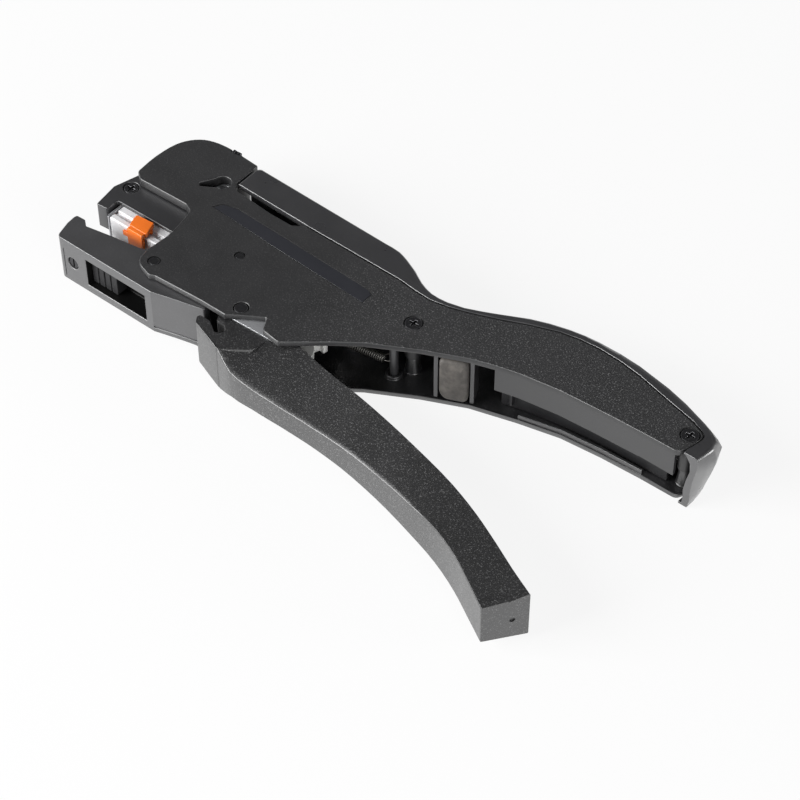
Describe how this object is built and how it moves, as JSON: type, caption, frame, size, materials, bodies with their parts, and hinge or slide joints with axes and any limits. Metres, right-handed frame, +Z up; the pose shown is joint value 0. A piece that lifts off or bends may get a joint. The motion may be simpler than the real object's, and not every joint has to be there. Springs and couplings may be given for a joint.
{
  "type": "ferrule crimping tool",
  "caption": "Flat black plastic hand tool with a hooked front jaw, a white clamp with an orange length stop, a crimping port, a ferrule magazine and two long curved handles.",
  "frame": {"origin": "where the axis of the main handle pivot meets the flat side that the tool rests on", "axes": "+X towards the handle ends (the jaws point to -X), +Y towards the tool's back and its magazine, +Z up out of the resting side"},
  "size_m": [0.2131, 0.1005, 0.022],
  "materials": {
    "textured_black_plastic": "finely spark-textured black",
    "smooth_black_plastic": "smooth satin black",
    "jaw_black_plastic": "satin black, glass filled",
    "white_plastic": "smooth white",
    "orange_plastic": "smooth orange",
    "light_grey_plastic": "plain light grey",
    "grey_rubber": "dull warm grey",
    "blackened_steel": "black oxide",
    "blank_steel": "blank ground steel"
  },
  "bodies": {
    "frame": {"top_cover": "textured_black_plastic", "bottom_cover": "textured_black_plastic", "back_shell": "smooth_black_plastic", "lobe_clip": "blackened_steel", "handle_screw": "blackened_steel", "end_screw": "blackened_steel", "handle_pivot_pin": "blackened_steel", "jaw_pivot_pin": "blackened_steel", "cover_dowel": "blackened_steel", "upper_jaw": "smooth_black_plastic", "jaw_screw": "blackened_steel", "clamp_block": "white_plastic", "upper_blade": "blank_steel", "ferrule_funnel": "blank_steel", "crimp_anvil": "blank_steel", "opening_spring": "blank_steel", "strip_guide": "smooth_black_plastic", "lever_pin": "blank_steel", "spring_post": "smooth_black_plastic", "return_spring": "blank_steel", "inner_wall": "smooth_black_plastic", "buffer_pad": "grey_rubber", "pad_holder": "smooth_black_plastic"},
    "moving_handle": {"moving_handle": "textured_black_plastic", "cam_hook": "light_grey_plastic", "upper_drive_plate": "blank_steel", "lower_drive_plate": "blank_steel", "drive_pin": "blank_steel"},
    "lower_jaw": {"lower_jaw": "jaw_black_plastic", "eccentric_screw": "blackened_steel", "lower_clamp": "smooth_black_plastic", "lower_blade": "blank_steel"},
    "length_stop": {"length_stop": "orange_plastic"},
    "crimp_plunger": {"crimp_plunger": "blank_steel", "plunger_pin": "blank_steel"},
    "push_link": {"push_link": "blank_steel"},
    "feed_lever": {"feed_lever": "light_grey_plastic"}
  },
  "joints": [
    {"name": "handle_swing", "type": "hinge", "parent": "frame", "child": "moving_handle", "pos_m": [0, 0, 0.011], "axis": [0, 0, 1], "range_deg": [0, 25], "stiffness_Nm_per_rad": 0.4, "deforming": ["opening_spring"]},
    {"name": "jaw_close", "type": "hinge", "parent": "frame", "child": "lower_jaw", "pos_m": [-0.03409, -0.0015, 0.011], "axis": [0, 0, 1], "range_deg": [-12.5, 0.5]},
    {"name": "plunger_stroke", "type": "slide", "parent": "frame", "child": "crimp_plunger", "axis": [-1, 0, 0], "range_m": [-0.0001, 0.0055]},
    {"name": "link_turn", "type": "hinge", "parent": "moving_handle", "child": "push_link", "pos_m": [0.00196, 0.01299, 0.011], "axis": [0, 0, 1], "range_deg": [-26.5, 0.5]},
    {"name": "lever_turn", "type": "hinge", "parent": "frame", "child": "feed_lever", "pos_m": [0.02002, 0.02699, 0.011], "axis": [0, 0, 1], "range_deg": [-11.5, 0.5], "deforming": ["return_spring"]},
    {"name": "stop_slide", "type": "slide", "parent": "frame", "child": "length_stop", "axis": [1, 0, 0], "range_m": [-0.007, 0.003]}
  ],
  "couplings": [
    {"joint": "jaw_close", "follows": "handle_swing", "ratio": -0.48},
    {"joint": "plunger_stroke", "follows": "handle_swing", "m_per_rad": 0.01226},
    {"joint": "link_turn", "follows": "handle_swing", "ratio": -1.032},
    {"joint": "lever_turn", "follows": "handle_swing", "ratio": -0.44}
  ]
}
